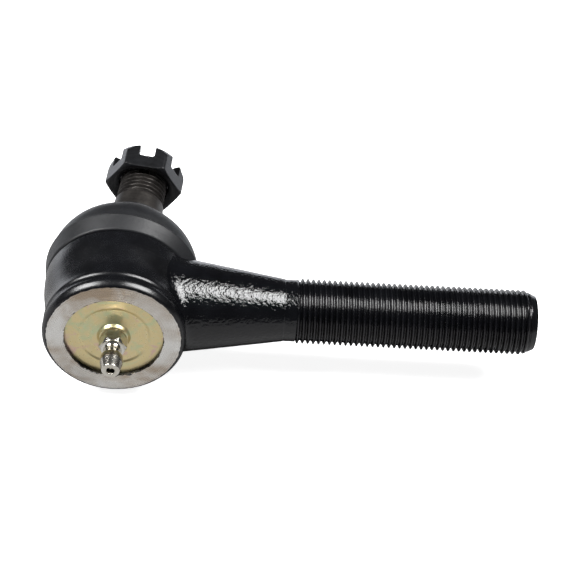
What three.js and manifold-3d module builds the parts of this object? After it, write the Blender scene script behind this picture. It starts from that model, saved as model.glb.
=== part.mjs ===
// Greaseable tie rod end with a right-hand threaded shank, a tapered ball stud and a slotted nut.
// Millimetres. Inside the assembly group the ball centre is zero, +X runs out along the shank,
// +Y leaves the socket beside the stud, and +Z is up. The group is moved so that the part's own
// origin is the middle of the shank's end face.
import * as THREE from 'three';
import { mergeVertices } from 'three/addons/utils/BufferGeometryUtils.js';
import Module from 'manifold-3d';

const wasm = await Module();
wasm.setup();

// Driving dimensions
const shankReach = 122; // ball centre to the shank's end face
const shankThread = { major: 19.05, minor: 17.1, pitch: 1.5875, start: 51.4, chamfer: 3.4 };
const studThread = { major: 14.2, minor: 12.6, pitch: 1.4111, start: 38.1, chamfer: 0.9 };
const ballRadius = 11.9;
const bearingGap = 0.2; // between the ball and its bearings
const fitGap = 0.3; // between pieces that touch on the bench
const barrelFront = -16.5; // outer face of the rolled lip
const lipThickness = 1;
const coverFront = barrelFront + lipThickness + fitGap;
const coverThickness = 2;
const fittingTip = -29.66;
const shoulderTop = 6; // where the boot sits on the barrel
const socketMouth = { radius: 10.6, top: 8.6 };
const studReach = 50; // ball centre to the stud's end face
const nutSeat = 44.1; // ball centre to the nut's bearing face
const nutHeight = 8.7;
const nutAcrossFlats = 20.64;
const nutTurn = 1.5; // degrees, how the nut happens to stand on the stud
const pinHoleRadius = 1.7;
const leanUp = 11.77; // degrees the stud leans from +Y towards +Z
const leanOut = 6.36; // degrees it then leans towards the shank
const roundSides = 32;

const degrees = (angle) => THREE.MathUtils.degToRad(angle);

const finishes = {
  blackPaint: { color: 0x17181b, roughness: 0.3, metalness: 0.1 },
  yellowZinc: { color: 0xb9b184, roughness: 0.35, metalness: 0.9 },
  brightSteel: { color: 0xc4c4c0, roughness: 0.25, metalness: 1 },
  studSteel: { color: 0x55524d, roughness: 0.5, metalness: 0.9 },
  blackOxide: { color: 0x26282a, roughness: 0.5, metalness: 0.6 },
  springSteel: { color: 0x6a6c70, roughness: 0.4, metalness: 1 },
  bootRubber: { color: 0x3d4046, roughness: 0.7, metalness: 0 },
  bearingPlastic: { color: 0xd9d4c4, roughness: 0.6, metalness: 0 },
};

// ---- turning meshes into solids and back ----

function solid(geometry) {
  const bare = geometry.clone();
  bare.deleteAttribute('normal');
  bare.deleteAttribute('uv');
  const merged = mergeVertices(bare, 1e-4);
  return new wasm.Manifold(new wasm.Mesh({
    numProp: 3,
    vertProperties: new Float32Array(merged.attributes.position.array),
    triVerts: new Uint32Array(merged.index.array),
  }));
}

function geometryOf(made) {
  const { vertProperties, triVerts } = made.getMesh();
  const geometry = new THREE.BufferGeometry();
  geometry.setAttribute('position', new THREE.BufferAttribute(vertProperties, 3));
  geometry.setIndex(new THREE.BufferAttribute(triVerts, 1));
  return geometry;
}

// A turned solid about Y from [radius, height] points that start and end on the axis or close
// on themselves. It is turned the right way out whichever way round the points run.
function turned(points, sides = roundSides) {
  const profile = points.map(([radius, height]) => new THREE.Vector2(radius, height));
  const area = profile.reduce((sum, point, i) => sum + profile.at(i - 1).cross(point), 0);
  if (area < 0) profile.reverse();
  return solid(new THREE.LatheGeometry(profile, sides));
}

// Closes a ring's profile on itself.
const ring = (points) => [...points, points[0]];

// Points on a ball's outline between two heights.
function ballArc(radius, fromHeight, toHeight, steps) {
  const fromAngle = Math.asin(fromHeight / radius);
  const toAngle = Math.asin(toHeight / radius);
  return Array.from({ length: steps + 1 }, (_, i) => {
    const angle = THREE.MathUtils.lerp(fromAngle, toAngle, i / steps);
    return [radius * Math.cos(angle), radius * Math.sin(angle)];
  });
}

// A right-hand screw thread about Y, from height 0 up: two rows of points to each pitch, root and
// crest, that climb one pitch in a turn. Its ragged ends are cut off by whatever it is trimmed to.
function threadedBar({ major, minor, pitch }, length, sides) {
  const lastRow = 2 * Math.ceil(length / pitch) + 4;
  const positions = [];
  const faces = [];
  const point = (radius, row, column) => {
    const angle = (-2 * Math.PI * column) / sides;
    const height = (row / 2 - 1 + column / sides) * pitch;
    positions.push(radius * Math.cos(angle), height, radius * Math.sin(angle));
    return positions.length / 3 - 1;
  };
  const columns = Array.from({ length: sides + 1 }, (_, i) => i);
  const rows = Array.from({ length: lastRow + 1 }, (_, row) =>
    columns.map((column) => point((row % 2 ? major : minor) / 2, row, column)));
  const bottom = columns.map((column) => point(0, 0, column));
  const top = columns.map((column) => point(0, lastRow, column));

  for (let row = 0; row < lastRow; row++)
    for (let i = 0; i < sides; i++)
      faces.push(
        rows[row][i], rows[row][i + 1], rows[row + 1][i],
        rows[row + 1][i], rows[row][i + 1], rows[row + 1][i + 1],
      );
  const lowStep = rows[1][0];
  const highStep = rows[lastRow - 1][sides];
  faces.push(lowStep, bottom[0], rows[0][0], lowStep, rows[0][sides], bottom[sides]);
  faces.push(highStep, top[sides], rows[lastRow][sides], highStep, rows[lastRow][0], top[0]);
  for (let i = 0; i < sides; i++) {
    const [low, high] = [rows[0], rows[lastRow]];
    faces.push(bottom[i], low[i + 1], low[i], bottom[i], bottom[i + 1], low[i + 1]);
    faces.push(lowStep, bottom[i + 1], bottom[i], highStep, top[i], top[i + 1]);
    faces.push(top[i], high[i], high[i + 1], top[i], high[i + 1], top[i + 1]);
  }
  const geometry = new THREE.BufferGeometry();
  geometry.setAttribute('position', new THREE.Float32BufferAttribute(positions, 3));
  geometry.setIndex(faces);
  return solid(geometry);
}

// A threaded length about Y that ends in a chamfer at the given height.
function threadTo(thread, endHeight, sides) {
  const { major, minor, start, chamfer } = thread;
  const crest = major / 2;
  const envelope = turned([
    [0, start],
    [minor / 2, start],
    [crest + 0.2, start + (major - minor) / 2],
    [crest + 0.2, endHeight - chamfer],
    [crest - chamfer * 0.47, endHeight],
    [0, endHeight],
  ]);
  const bar = threadedBar(thread, endHeight - start, sides).translate([0, start, 0]);
  return bar.intersect(envelope);
}

// A coil spring about Y between two heights.
function coilSpring(radius, wireRadius, fromHeight, toHeight, turns) {
  class Coil extends THREE.Curve {
    getPoint(t) {
      const angle = 2 * Math.PI * turns * t;
      const height = THREE.MathUtils.lerp(fromHeight, toHeight, t);
      return new THREE.Vector3(radius * Math.cos(angle), height, radius * Math.sin(angle));
    }
  }
  const wire = new THREE.Shape().absarc(0, 0, wireRadius, 0, 2 * Math.PI);
  return new THREE.ExtrudeGeometry(wire, {
    extrudePath: new Coil(),
    steps: turns * 8,
    curveSegments: 4,
  });
}

// ---- the forged housing: barrel, neck and threaded shank in one piece ----

function barrel() {
  return turned([
    [0, barrelFront],
    [18.6, barrelFront],
    [19.6, -16.1],
    [20.3, -15.1],
    [20.5, -14.1],
    [20.1, -12.6],
    [20.1, -12],
    [20.45, -10.9],
    [20.25, -9],
    [20.3, -6.5],
    [20.7, -3],
    [21.3, 1],
    [21.45, 3.4],
    [21.45, shoulderTop - 0.4],
    [21, shoulderTop],
    [16.9, shoulderTop],
    [16.9, 8.2],
    [16.5, socketMouth.top],
    [0, socketMouth.top],
  ], 40);
}

function neckAndRelief() {
  const reliefRadius = 9;
  const neckEnd = 48.4;
  return turned([
    [0, 6],
    [14.8, 6],
    [14.8, 16.5],
    [13.7, 19.5],
    [13.2, 22.2],
    [9.2, neckEnd - 0.3],
    [reliefRadius, neckEnd],
    [reliefRadius, shankThread.start + 0.6],
    [0, shankThread.start + 0.6],
  ]);
}

// The hole through the barrel: lip opening, cover counterbore, bearing bore, closed-in mouth.
function socketBore() {
  return turned([
    [0, barrelFront - 1],
    [14, barrelFront - 1],
    [14, barrelFront + lipThickness],
    [16.6, barrelFront + lipThickness],
    [16.6, -12.9],
    [15.3, -12.9],
    [15.3, 0.6],
    [14.6, 3.4],
    [12.9, 6],
    [socketMouth.radius, 7.5],
    [socketMouth.radius, socketMouth.top + 1],
    [0, socketMouth.top + 1],
  ]);
}

// What is turned away above the barrel: the seat that the boot sits on, and the root of the neck.
function aboveBarrel() {
  return turned([
    [0, socketMouth.top],
    [16.5, socketMouth.top],
    [16.9, 8.2],
    [16.9, shoulderTop],
    [24.3, shoulderTop],
    [24.3, 20],
    [0, 20],
  ], 40);
}

function housing() {
  const alongX = [0, 0, -90];
  const shank = neckAndRelief().add(threadTo(shankThread, shankReach, 18)).rotate(alongX);
  return barrel().add(shank.subtract(aboveBarrel())).subtract(socketBore());
}

// ---- the socket's closing side: cover, preload spring, grease fitting ----

function coverPlate() {
  const inside = coverFront + coverThickness;
  return turned(ring([
    [fitting.shankRadius + fitGap, inside],
    [fitting.shankRadius + fitGap, -16.2],
    [4, -16.2],
    [4.8, -15],
    [9.6, -14.7],
    [10.4, coverFront],
    [16, coverFront],
    [16.3, coverFront + 0.3],
    [16.3, inside],
  ]));
}

const fitting = {
  shankRadius: 3,
  acrossFlats: 7.14,
  hexBase: -16.5,
  hexTop: -20.4,
  ballSeat: -28.4,
};

function hexPrism(acrossFlats, fromHeight, toHeight) {
  const cornerRadius = acrossFlats / Math.sqrt(3);
  const height = toHeight - fromHeight;
  const prism = new THREE.CylinderGeometry(cornerRadius, cornerRadius, height, 6);
  prism.rotateY(Math.PI / 6);
  prism.translate(0, fromHeight + height / 2, 0);
  return solid(prism);
}

function fittingBody() {
  const { shankRadius, acrossFlats, hexBase, hexTop, ballSeat } = fitting;
  const hexCorner = acrossFlats / Math.sqrt(3);
  const hexShape = hexPrism(acrossFlats, hexTop, hexBase).intersect(turned([
    [0, hexBase],
    [hexCorner + 0.1, hexBase],
    [hexCorner + 0.1, hexTop + 0.6],
    [hexCorner - 0.7, hexTop],
    [0, hexTop],
  ], 24));
  const spindle = turned([
    [0, -12],
    [shankRadius - 0.4, -12],
    [shankRadius, -12.4],
    [shankRadius, hexTop],
    [2.62, hexTop - 0.4],
    [2.55, -22.3],
    [3.2, -24.4],
    [3.2, -26.4],
    [2.5, fittingTip],
    [0, fittingTip],
  ], 28);
  const passage = turned([
    [0, -11],
    [1, -11],
    [1, -23.6],
    [1.55, -23.6],
    [1.55, ballSeat],
    [1, -29],
    [1.1, fittingTip - 1],
    [0, fittingTip - 1],
  ], 20);
  return hexShape.add(spindle).subtract(passage);
}

function preloadDisc() {
  return turned(ring([
    [7, -12.35],
    [13.6, -11.95],
    [13.6, -12.75],
    [7, -13.1],
  ]));
}

// ---- bearings ----

function upperBearing() {
  return turned(ring([
    ...ballArc(ballRadius + bearingGap, 0.3, 6.9, 5),
    [10.2, 7.25],
    [12.6, 5.75],
    [14.3, 3.2],
    [15, 0.5],
    [15, 0.3],
  ]));
}

function lowerBearing() {
  return turned(ring([
    ...ballArc(ballRadius + bearingGap, -0.1, -10.6, 7),
    [5.8, -11.6],
    [14.6, -11.6],
    [15, -11.2],
    [15, -0.1],
  ]));
}

// ---- ball stud and nut, drawn upright about +Y ----

function ballStud() {
  const flatHeight = -9.2;
  const neckRadius = 6;
  const neckStart = Math.sqrt(ballRadius ** 2 - neckRadius ** 2);
  const shape = turned([
    [0, flatHeight],
    ...ballArc(ballRadius, flatHeight, neckStart, 12),
    [neckRadius, 12.6],
    [6.5, 15.4],
    [7.8, 18.4],
    [8.5, 19.8],
    [8.5, 21],
    [7.45, 37.2],
    [6.7, 37.7],
    [6.3, studThread.start + 0.4],
    [0, studThread.start + 0.4],
  ]).add(threadTo(studThread, studReach, 16));
  const pinHole = solid(new THREE.CylinderGeometry(pinHoleRadius, pinHoleRadius, 30, 16))
    .rotate([90, 0, 0])
    .translate([0, 46, 0]);
  return shape.subtract(pinHole);
}

function castleNut() {
  const boreRadius = studThread.major / 2 + fitGap;
  const slot = { width: 4.6, depth: 4.2 };
  const top = nutSeat + nutHeight;
  const corner = nutAcrossFlats / Math.sqrt(3);
  const crown = turned([
    [0, nutSeat],
    [corner - 0.6, nutSeat],
    [corner + 0.1, nutSeat + 0.5],
    [corner + 0.1, top - 3.9],
    [corner - 0.4, top - 1.8],
    [corner - 1.4, top],
    [0, top],
  ]);
  const bore = turned([
    [0, nutSeat - 1],
    [boreRadius + 1.8, nutSeat - 1],
    [boreRadius, nutSeat + 0.8],
    [boreRadius, top + 1],
    [0, top + 1],
  ], 32);
  let nut = hexPrism(nutAcrossFlats, nutSeat, top).intersect(crown).subtract(bore);
  for (const turn of [90, 30, 150]) {
    const cutter = new THREE.BoxGeometry(40, 2 * slot.depth, slot.width);
    nut = nut.subtract(solid(cutter).rotate([0, turn, 0]).translate([0, top, 0]));
  }
  return nut.rotate([0, nutTurn, 0]);
}

// ---- rubber boot ----

const boot = {
  wall: 1.7,
  foot: 6.75,
  brow: 11.6, // the sharp edge between the skirt and the dome
  browRadius: 22.92,
  domeRadius: 22.3,
  domeHeight: 16.9,
  roundness: 1.85,
  seam: 22, // where the wall ends and the neck starts
  squared: 28, // from here up the boot is square to the stud
  lipTop: 30,
  browPull: new THREE.Vector3(0.9, 0, 0.4), // how far the stud drags the brow sideways
  browTurn: new THREE.Vector3(0, 0, degrees(-4.3)),
  footTurn: new THREE.Vector3(0, 0, degrees(-1.1)),
};

// Outer radius of the dome at a height.
function domeRadiusAt(height) {
  const { brow, domeRadius, domeHeight, roundness } = boot;
  const rise = (height - brow) / domeHeight;
  return domeRadius * (1 - rise ** roundness) ** (1 / roundness);
}

// A ring of the dome between two heights.
function domeBand(fromHeight, toHeight, steps) {
  const rise = (toHeight - fromHeight) / steps;
  const heights = Array.from({ length: steps + 1 }, (_, i) => fromHeight + i * rise);
  const outer = heights.map((height) => [domeRadiusAt(height), height]);
  const inner = heights.map((height) => [domeRadiusAt(height + boot.wall) - boot.wall * 0.4, height]);
  return ring([...outer, ...inner.reverse()]);
}

const studLean = new THREE.Quaternion()
  .setFromAxisAngle(new THREE.Vector3(1, 0, 0), degrees(leanUp))
  .multiply(new THREE.Quaternion().setFromAxisAngle(new THREE.Vector3(0, 0, 1), degrees(-leanOut)));
const studAxis = new THREE.Vector3(0, 1, 0).applyQuaternion(studLean);
const leanTurn = new THREE.Vector3(studLean.x, studLean.y, studLean.z)
  .normalize()
  .multiplyScalar(2 * Math.acos(studLean.w));

// The middle of the boot at a height, and its turn as an axis whose length is the angle. The skirt
// is dragged a little towards the leaning stud; above the brow the middle soon joins the stud's
// axis, and the turn follows near the top.
function bootPose(height) {
  const { foot, brow, squared, browPull, browTurn, footTurn } = boot;
  const middle = new THREE.Vector3(0, height, 0);
  if (height < brow) {
    const share = Math.max(0, (height - foot) / (brow - foot));
    return [middle.addScaledVector(browPull, share), footTurn.clone().lerp(browTurn, share)];
  }
  const share = Math.min(1, (height - brow) / (squared - brow));
  middle.add(browPull).lerp(studAxis.clone().multiplyScalar(height), share ** 0.45);
  return [middle, browTurn.clone().lerp(leanTurn, share ** 3)];
}

// Bends a piece of the upright boot over towards the leaning stud.
function leant(made) {
  return made.warp((vertex) => {
    const [middle, turn] = bootPose(vertex[1]);
    const moved = new THREE.Vector3(vertex[0], 0, vertex[2])
      .applyAxisAngle(turn.clone().normalize(), turn.length())
      .add(middle);
    vertex[0] = moved.x;
    vertex[1] = moved.y;
    vertex[2] = moved.z;
  });
}

function bootSkirt() {
  const { foot, brow, browRadius, wall } = boot;
  const top = brow + 1.2;
  return turned(ring([
    [17.5, foot],
    [21.1, foot],
    [21.5, foot + 0.3],
    [21.8, foot + 1.2],
    [browRadius, brow - 0.15],
    [browRadius - 0.15, brow + 0.15],
    [domeRadiusAt(top) + 0.1, top],
    [domeRadiusAt(top) - wall, top],
    [20.2, brow - 0.9],
    [19.4, foot + 2.2],
    [17.5, foot + 1.8],
  ]), 40);
}

function bootNeck() {
  const { seam, lipTop } = boot;
  const bottom = seam + 0.4;
  return turned(ring([
    [11.9, bottom],
    [domeRadiusAt(bottom), bottom],
    [domeRadiusAt(24.2), 24.2],
    [domeRadiusAt(25.8), 25.8],
    [10.2, 26.9],
    [9.6, 27.4],
    [9.6, 28.9],
    [10.1, 29.4],
    [9.9, lipTop],
    [8.5, lipTop],
    [8.6, 25.6],
  ]));
}

// ---- the assembly ----

function piece(name, shape, finish) {
  const geometry = shape.isBufferGeometry ? shape : geometryOf(shape);
  geometry.computeVertexNormals();
  const mesh = new THREE.Mesh(geometry, new THREE.MeshStandardMaterial(finishes[finish]));
  mesh.name = name;
  return mesh;
}

const assembly = new THREE.Group();
assembly.position.set(-shankReach, 0, 0);
assembly.add(
  piece('housing', housing(), 'blackPaint'),
  piece('cover_plate', coverPlate(), 'yellowZinc'),
  piece('grease_fitting_body', fittingBody(), 'brightSteel'),
  piece('grease_fitting_spring', coilSpring(0.95, 0.15, -26, -24, 4), 'springSteel'),
  piece('preload_disc_spring', preloadDisc(), 'springSteel'),
  piece('upper_bearing', upperBearing(), 'bearingPlastic'),
  piece('lower_bearing', lowerBearing(), 'bearingPlastic'),
  piece('boot_skirt', leant(bootSkirt()), 'bootRubber'),
  piece('boot_wall', leant(turned(domeBand(boot.brow + 1.7, boot.seam, 6), 40)), 'bootRubber'),
  piece('boot_neck', leant(bootNeck()), 'bootRubber'),
);

const checkBall = piece('grease_fitting_check_ball', new THREE.SphereGeometry(1.2, 12, 8), 'brightSteel');
checkBall.position.y = fitting.ballSeat + 0.95;

const clipRing = piece('boot_clip_ring', new THREE.TorusGeometry(18.35, 0.45, 6, 32), 'springSteel');
const [clipMiddle, clipTurn] = bootPose(boot.foot + 3.4);
clipRing.rotateOnAxis(clipTurn.clone().normalize(), clipTurn.length()).rotateX(Math.PI / 2);
clipRing.position.copy(clipMiddle);
assembly.add(checkBall, clipRing);

// Everything that leans with the stud
const leaning = new THREE.Group();
leaning.quaternion.copy(studLean);
const neckRing = piece('boot_neck_ring', new THREE.TorusGeometry(10.35, 0.55, 6, 32), 'springSteel');
neckRing.rotation.x = Math.PI / 2;
neckRing.position.y = 28.15;
leaning.add(
  piece('ball_stud', ballStud(), 'studSteel'),
  piece('castle_nut', castleNut(), 'blackOxide'),
  neckRing,
);
assembly.add(leaning);

const tieRodEnd = new THREE.Group();
tieRodEnd.add(assembly);

export default tieRodEnd;
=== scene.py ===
import math
import bpy
import numpy as np
from mathutils import Matrix


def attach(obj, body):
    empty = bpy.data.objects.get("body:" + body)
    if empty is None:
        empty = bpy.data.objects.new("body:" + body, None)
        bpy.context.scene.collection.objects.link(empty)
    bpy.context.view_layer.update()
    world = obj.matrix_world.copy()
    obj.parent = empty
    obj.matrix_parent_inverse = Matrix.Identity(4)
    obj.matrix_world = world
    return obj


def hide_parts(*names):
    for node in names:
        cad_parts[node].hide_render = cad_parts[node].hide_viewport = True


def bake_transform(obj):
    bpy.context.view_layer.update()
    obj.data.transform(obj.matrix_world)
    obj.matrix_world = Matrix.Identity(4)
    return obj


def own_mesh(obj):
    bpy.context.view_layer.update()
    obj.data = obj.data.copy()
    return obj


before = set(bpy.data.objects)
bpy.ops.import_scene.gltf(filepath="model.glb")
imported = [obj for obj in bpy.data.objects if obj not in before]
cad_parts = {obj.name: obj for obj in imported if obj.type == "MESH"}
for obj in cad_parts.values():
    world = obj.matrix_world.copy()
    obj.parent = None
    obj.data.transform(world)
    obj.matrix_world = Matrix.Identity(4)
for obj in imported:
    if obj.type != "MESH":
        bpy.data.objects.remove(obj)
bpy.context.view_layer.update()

# Shapes are worked out in millimetres from the ball's centre, as the CAD model is, and moved to
# the row frame in metres when the mesh is made. +Y is the upright stud, +X the shank.
ballCentre = np.array([-0.122, 0.0, 0.0])
millimetre = 0.001
fullTurn = 2 * math.pi


def smoothStep(value, low, high):
    share = np.clip((value - low) / (high - low), 0, 1)
    return share * share * (3 - 2 * share)


def turned(points, turn):
    # Rodrigues' turn: the axis is the direction of "turn", the angle its length, in radians; one
    # turn for all points or one for each
    turn = np.broadcast_to(np.asarray(turn, float), points.shape)
    angle = np.linalg.norm(turn, axis=-1, keepdims=True)
    axis = turn / np.maximum(angle, 1e-9)
    along = (points * axis).sum(-1, keepdims=True) * axis
    return (points * np.cos(angle) + np.cross(axis, points) * np.sin(angle)
            + along * (1 - np.cos(angle)))


def softProfile(points, reach, closed=False):
    # Every corner of the outline becomes a short curve: start and end lie "reach" from the corner
    # (less on a short side) and the corner pulls the curve between them. One extra point on either
    # side keeps the shading of the flats apart from the curve.
    corners = np.array(points, float)
    reach = np.broadcast_to(reach, len(corners))[:, None]
    back = np.roll(corners, 1, 0) - corners
    ahead = np.roll(corners, -1, 0) - corners
    backLength = np.linalg.norm(back, axis=1, keepdims=True)
    aheadLength = np.linalg.norm(ahead, axis=1, keepdims=True)
    back, ahead = back / backLength, ahead / aheadLength
    backReach = np.minimum(reach, 0.4 * backLength)
    aheadReach = np.minimum(reach, 0.4 * aheadLength)
    first, last = corners + back * backReach, corners + ahead * aheadReach
    share = np.linspace(0, 1, 6)[None, :, None]
    curve = ((1 - share) ** 2 * first[:, None] + 2 * share * (1 - share) * corners[:, None]
             + share ** 2 * last[:, None])
    before = first + back * backReach * 0.15
    after = last + ahead * aheadReach * 0.15
    rows = np.concatenate([before[:, None], curve, after[:, None]], axis=1)
    if closed:
        return rows.reshape(-1, 2)
    return np.vstack([corners[:1], rows[1:-1].reshape(-1, 2), corners[-1:]])


def curveThrough(points, steps):
    # A smooth curve through every point: each stretch is the cubic whose slope at a point is that
    # of the line between the points on either side of it
    given = np.array(points, float)
    given = np.vstack([2 * given[0] - given[1], given, 2 * given[-1] - given[-2]])
    share = np.linspace(0, 1, steps, endpoint=False)[None, :, None]
    one, two, three, four = given[:-3, None], given[1:-2, None], given[2:-1, None], given[3:, None]
    curve = 0.5 * (2 * two + (three - one) * share
                   + (2 * one - 5 * two + 4 * three - four) * share ** 2
                   + (3 * two - one - 3 * three + four) * share ** 3)
    return np.vstack([curve.reshape(-1, 2), given[-2]])


def turnedRings(profile, sides):
    # Each (radius, height) point goes once round the Y axis
    angle = np.linspace(0, fullTurn, sides, endpoint=False)[None, :]
    radius, height = profile[:, 0][:, None], profile[:, 1][:, None]
    return np.stack([radius * np.cos(angle), height + 0 * angle, radius * np.sin(angle)], axis=-1)


def unevenness(points, seed, waves, scale):
    # A rough field from -1 to 1: the sum of many sine waves of random direction and start, whose
    # wavelengths lie around "scale"
    chance = np.random.default_rng(seed)
    directions = chance.normal(size=(waves, 3))
    directions *= (fullTurn / scale * chance.uniform(0.6, 1.5, waves)
                   / np.linalg.norm(directions, axis=1))[:, None]
    starts = chance.uniform(0, fullTurn, waves)
    return np.sin(points @ directions.T + starts).sum(axis=-1) / math.sqrt(waves) / 1.5


def newObject(name, mesh):
    made = bpy.data.objects.new(name, mesh)
    bpy.context.scene.collection.objects.link(made)
    return made


def ringMesh(name, rings, loop=False, sharp=38):
    # Rings of points, each closed round and joined to the next by quads. The two ends are closed
    # by fans to their middles, or the last ring joins the first. The faces are turned outwards if
    # the volume they hold comes out negative.
    rows, columns = rings.shape[:2]
    points = ballCentre + millimetre * rings.reshape(-1, 3)
    index = np.arange(rows * columns).reshape(rows, columns)
    lower = index if loop else index[:-1]
    upper = np.roll(index, -1, 0) if loop else index[1:]
    quads = np.stack([lower, np.roll(lower, -1, 1), np.roll(upper, -1, 1), upper], -1).reshape(-1, 4)
    faces = quads.tolist()
    corners = points[quads]
    volume = np.einsum("ij,ij->", corners[:, 0], np.cross(corners[:, 1], corners[:, 2])
                       + np.cross(corners[:, 2], corners[:, 3]))
    if not loop:
        middles = np.stack([points[index[0]].mean(0), points[index[-1]].mean(0)])
        points = np.vstack([points, middles])
        start = np.stack([np.roll(index[0], -1), index[0], np.full(columns, rows * columns)], -1)
        end = np.stack([index[-1], np.roll(index[-1], -1), np.full(columns, rows * columns + 1)], -1)
        fans = np.vstack([start, end])
        corners = points[fans]
        volume += np.einsum("ij,ij->", corners[:, 0], np.cross(corners[:, 1], corners[:, 2]))
        faces += fans.tolist()
    if volume < 0:
        faces = [face[::-1] for face in faces]
    mesh = bpy.data.meshes.new(name)
    mesh.from_pydata(points.tolist(), [], faces)
    mesh.shade_smooth()
    mesh.set_sharp_from_angle(angle=math.radians(sharp))
    mesh.update()
    return newObject(name, mesh)


def settled(piece, sharp=38):
    # Fixes a piece's modifiers into its mesh and clears them
    shown = piece.evaluated_get(bpy.context.evaluated_depsgraph_get())
    mesh = bpy.data.meshes.new_from_object(shown)
    piece.modifiers.clear()
    piece.data = mesh
    mesh.shade_smooth()
    mesh.set_sharp_from_angle(angle=math.radians(sharp))
    return piece


def cutAway(piece, *cutters):
    for cutter in cutters:
        cut = piece.modifiers.new("cut", "BOOLEAN")
        cut.operation = "DIFFERENCE"
        cut.solver = "EXACT"
        cut.object = cutter
    settled(piece)
    for cutter in cutters:
        bpy.data.objects.remove(cutter)
    return piece


def keepLargestShell(piece, sharp=60):
    # Every vertex takes the lowest number among its neighbours until each separate shell of quads
    # has one number; only the shell with the most vertices stays
    mesh = piece.data
    points = np.empty(3 * len(mesh.vertices))
    mesh.vertices.foreach_get("co", points)
    ends = np.empty(2 * len(mesh.edges), np.int32)
    mesh.edges.foreach_get("vertices", ends)
    quads = np.empty(4 * len(mesh.polygons), np.int32)
    mesh.polygons.foreach_get("vertices", quads)
    one, two = ends.reshape(-1, 2).T
    quads = quads.reshape(-1, 4)
    shell = np.arange(len(mesh.vertices))
    changed = True
    while changed:
        low = np.minimum(shell[one], shell[two])
        spread = shell.copy()
        np.minimum.at(spread, one, low)
        np.minimum.at(spread, two, low)
        spread = spread[spread]
        changed = bool((spread != shell).any())
        shell = spread
    kept = shell == np.bincount(shell).argmax()
    number = np.cumsum(kept) - 1
    fresh = bpy.data.meshes.new(piece.name)
    fresh.from_pydata(points.reshape(-1, 3)[kept].tolist(), [],
                      number[quads[kept[quads[:, 0]]]].tolist())
    fresh.shade_smooth()
    fresh.set_sharp_from_angle(angle=math.radians(sharp))
    piece.data = fresh


def finishPiece(piece, body, replaced, material):
    piece.data.materials.clear()
    piece.data.materials.append(material)
    if body:
        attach(piece, body)
    if replaced:
        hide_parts(*replaced)
    return piece


def place(tree, kind, values=None, **settings):
    # Adds a node; each value is a constant, or a socket that is linked in
    made = tree.nodes.new(kind)
    for name, setting in settings.items():
        setattr(made, name, setting)
    for socket, value in (values or {}).items():
        if isinstance(value, bpy.types.NodeSocket):
            tree.links.new(value, made.inputs[socket])
        else:
            made.inputs[socket].default_value = value
    return made


def startMaterial(name, constants):
    material = bpy.data.materials.new(name)
    material.use_nodes = True
    tree = material.node_tree
    shader = tree.nodes["Principled BSDF"]
    for socket, value in constants.items():
        shader.inputs[socket].default_value = value
    return material, tree, shader


def noise(tree, where, scale, detail=3.0, roughness=0.5, distortion=0.0):
    return place(tree, "ShaderNodeTexNoise", {
        "Vector": where, "Scale": scale, "Detail": detail,
        "Roughness": roughness, "Distortion": distortion,
    }).outputs["Fac"]


def lines(tree, value, scale, detail=3.0):
    # Noise along one number only, which gives turned or ground lines
    return place(tree, "ShaderNodeTexNoise", {
        "W": value, "Scale": scale, "Detail": detail, "Roughness": 0.6,
    }, noise_dimensions="1D").outputs["Fac"]


def ramp(tree, share, stops):
    made = place(tree, "ShaderNodeValToRGB", {"Fac": share})
    elements = made.color_ramp.elements
    while len(elements) < len(stops):
        elements.new(0.5)
    for element, (position, colour) in zip(elements, stops):
        element.position = position
        element.color = (*colour, 1)
    return made.outputs["Color"]


def mapRange(tree, value, fromLow, fromHigh, toLow, toHigh):
    return place(tree, "ShaderNodeMapRange", {
        "Value": value, "From Min": fromLow, "From Max": fromHigh, "To Min": toLow, "To Max": toHigh,
    }).outputs["Result"]


def mixColour(tree, share, one, two):
    made = place(tree, "ShaderNodeMix", data_type="RGBA")
    for socket, value in ((0, share), (6, one), (7, two)):
        if isinstance(value, bpy.types.NodeSocket):
            tree.links.new(value, made.inputs[socket])
        else:
            made.inputs[socket].default_value = value if socket == 0 else (*value, 1)
    return made.outputs[2]


def mixNumber(tree, share, one, two):
    return place(tree, "ShaderNodeMix", {0: share, 2: one, 3: two}).outputs[0]


def calculate(tree, operation, one, two=0.0):
    return place(tree, "ShaderNodeMath", {0: one, 1: two}, operation=operation).outputs[0]


def bump(tree, height, distance, strength=1.0, under=None):
    values = {"Height": height, "Distance": distance, "Strength": strength}
    if under:
        values["Normal"] = under
    return place(tree, "ShaderNodeBump", values).outputs["Normal"]


def aboutAxis(tree, axis):
    # Object coordinates, the height along an axis through the ball's centre, and the distance off it
    where = place(tree, "ShaderNodeTexCoord").outputs["Object"]
    centred = place(tree, "ShaderNodeVectorMath", {0: where, 1: ballCentre},
                    operation="SUBTRACT").outputs[0]
    height = place(tree, "ShaderNodeVectorMath", {0: centred, 1: axis},
                   operation="DOT_PRODUCT").outputs["Value"]
    along = place(tree, "ShaderNodeVectorMath", {0: axis, "Scale": height},
                  operation="SCALE").outputs[0]
    across = place(tree, "ShaderNodeVectorMath", {0: centred, 1: along},
                   operation="SUBTRACT").outputs[0]
    distance = place(tree, "ShaderNodeVectorMath", {0: across}, operation="LENGTH").outputs["Value"]
    return where, height, distance


lean = {"up": 11.77, "out": 6.36}  # degrees: from +Y towards +Z, then towards the shank

leanMatrix = (Matrix.Rotation(math.radians(lean["up"]), 3, "X")
              @ Matrix.Rotation(math.radians(-lean["out"]), 3, "Z"))
leanTurn = np.array(leanMatrix)
studAxis = leanTurn @ np.array([0.0, 1.0, 0.0])
leanAxis, leanAngle = leanMatrix.to_quaternion().to_axis_angle()
leanVector = np.array(leanAxis) * leanAngle
upright = (0.0, 1.0, 0.0)
shankAxis = (1.0, 0.0, 0.0)


def leaned(rings):
    return rings @ leanTurn.T


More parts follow.
